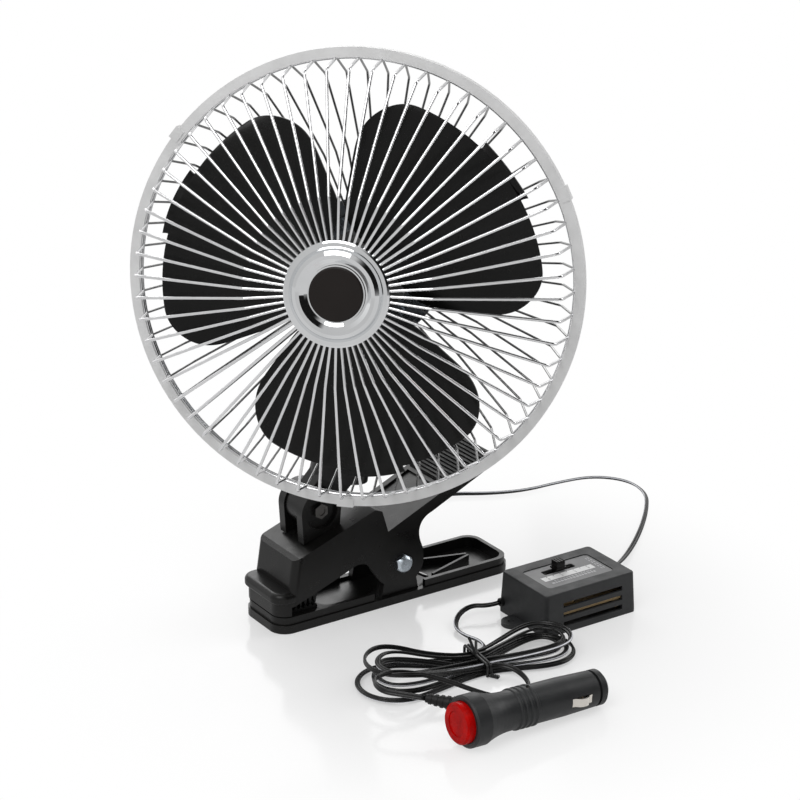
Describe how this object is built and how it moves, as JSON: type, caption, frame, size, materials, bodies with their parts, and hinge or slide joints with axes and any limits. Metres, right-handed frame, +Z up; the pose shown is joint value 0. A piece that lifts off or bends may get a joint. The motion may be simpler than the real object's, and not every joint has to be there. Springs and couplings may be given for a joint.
{
  "type": "portable camping fan",
  "caption": "Clip-on 12 volt fan with a wire guard, oscillating head, tilting neck, spring clamp, in-line speed slider and a car plug with a lit push button.",
  "frame": {"origin": "middle of the underside of the lower jaw, on the surface that it stands on", "axes": "+X along the clamp from its nose to its tail, +Y along the clamp bolt, +Z up"},
  "size_m": [0.3658, 0.2905, 0.333],
  "materials": {
    "black_plastic": "moulded, half gloss",
    "black_rubber": "matt, ribbed",
    "zinc_steel": "bright zinc plated",
    "spring_steel": "drawn wire",
    "dark_steel": "black oxide",
    "chrome_wire": "bright chrome plated wire",
    "band_aluminium": "pale mill finish",
    "clip_steel": "pale plated",
    "chrome": "polished",
    "disc_black": "satin",
    "motor_zinc": "plated can",
    "ferrite": "sintered",
    "copper_winding": "enamelled copper and laminations",
    "blade_black": "satin black",
    "white_nylon": "moulded",
    "grey_plate": "plain sheet",
    "box_plastic": "fine textured",
    "dial_grey": "printed plate with plain marks",
    "board_tan": "phenolic board",
    "plug_plastic": "fine textured",
    "red_lens": "clear red",
    "contact_nickel": "nickel plated",
    "fuse_glass": "clear",
    "cord_black": "two core flat cord, one core with a pale stripe",
    "tie_black": "coated wire"
  },
  "bodies": {
    "lower_jaw": {"lower_jaw": "black_plastic", "lower_pad": "black_rubber", "cord_to_box": "cord_black", "cord_to_hank": "cord_black", "cord_hank": "cord_black", "cord_to_plug": "cord_black", "hank_tie": "tie_black", "box_shell": "box_plastic", "box_base": "box_plastic", "dial_plate": "dial_grey", "circuit_board": "board_tan", "box_inlet": "black_rubber", "box_outlet": "black_rubber", "plug_body": "plug_plastic", "button_spring": "spring_steel", "plug_nut": "plug_plastic", "tip_spring": "spring_steel", "plug_fuse": "fuse_glass", "plug_carrier": "plug_plastic", "plug_screw": "contact_nickel", "strain_relief": "black_rubber"},
    "upper_jaw": {"upper_jaw": "black_plastic", "upper_pad": "black_rubber", "handle_grip": "black_rubber", "clamp_bolt": "zinc_steel", "clamp_nut": "zinc_steel", "cord_gland": "black_rubber", "knuckle_bolt": "dark_steel", "knuckle_nut": "dark_steel", "jaw_spring": "spring_steel"},
    "neck": {"neck": "black_plastic", "swing_pivot": "zinc_steel", "link_arm": "zinc_steel"},
    "head": {"front_wires": "chrome_wire", "rear_wires": "chrome_wire", "front_ring": "chrome_wire", "rear_ring": "chrome_wire", "rim_band": "band_aluminium", "band_clips": "clip_steel", "hub_cap": "chrome", "hub_disc": "disc_black", "front_plate": "zinc_steel", "rear_plate": "zinc_steel", "motor_flange": "black_plastic", "guard_screws": "zinc_steel", "motor_can": "motor_zinc", "motor_cap": "black_plastic", "motor_magnets": "ferrite", "gearbox": "black_plastic", "side_bracket": "grey_plate"},
    "rotor": {"fan_blades": "blade_black", "motor_shaft": "zinc_steel", "motor_rotor": "copper_winding"},
    "crank": {"swing_crank": "white_nylon"},
    "knob": {"speed_knob": "black_plastic"},
    "button": {"plug_button": "red_lens"},
    "far_contact": {"contact_far": "contact_nickel"},
    "near_contact": {"contact_near": "contact_nickel"},
    "tip": {"tip_contact": "contact_nickel"}
  },
  "joints": [
    {"name": "jaw_open", "type": "hinge", "parent": "lower_jaw", "child": "upper_jaw", "pos_m": [0.0024, 0, 0.025], "axis": [0, 1, 0], "range_deg": [0, 25], "stiffness_Nm_per_rad": 1.2, "springref_deg": -57.3, "deforming": ["jaw_spring"]},
    {"name": "tilt", "type": "hinge", "parent": "upper_jaw", "child": "neck", "pos_m": [-0.047, 0, 0.066], "axis": [0, 1, 0], "range_deg": [-40, 12]},
    {"name": "swing", "type": "hinge", "parent": "neck", "child": "head", "pos_m": [-0.00112, 0, 0.20133], "axis": [0.213, 0, 0.977], "range_deg": [-90, 0]},
    {"name": "fan_spin", "type": "hinge", "parent": "head", "child": "rotor", "pos_m": [-0.00112, 0, 0.20133], "axis": [-0.6909, -0.7071, 0.1506], "continuous": true},
    {"name": "crank_spin", "type": "hinge", "parent": "head", "child": "crank", "pos_m": [-0.00002, 0.01202, 0.14992], "axis": [0.213, 0, 0.977], "continuous": true},
    {"name": "speed_slide", "type": "slide", "parent": "lower_jaw", "child": "knob", "axis": [1, 0, 0], "range_m": [-0.006, 0.006]},
    {"name": "button_push", "type": "slide", "parent": "lower_jaw", "child": "button", "axis": [0.9985, 0, -0.0538], "range_m": [0, 0.0025], "stiffness_N_per_m": 600, "springref_m": -0.003, "deforming": ["button_spring"]},
    {"name": "far_contact_push", "type": "slide", "parent": "lower_jaw", "child": "far_contact", "axis": [0, -1, 0], "range_m": [0, 0.0012], "stiffness_N_per_m": 1500, "springref_m": -0.0005},
    {"name": "near_contact_push", "type": "slide", "parent": "lower_jaw", "child": "near_contact", "axis": [0, 1, 0], "range_m": [0, 0.0012], "stiffness_N_per_m": 1500, "springref_m": -0.0005},
    {"name": "tip_push", "type": "slide", "parent": "lower_jaw", "child": "tip", "axis": [-0.9985, 0, 0.0538], "range_m": [0, 0.003], "stiffness_N_per_m": 900, "springref_m": -0.002, "deforming": ["tip_spring"]}
  ],
  "couplings": [
    {"joint": "crank_spin", "follows": "fan_spin", "ratio": -0.020833}
  ]
}
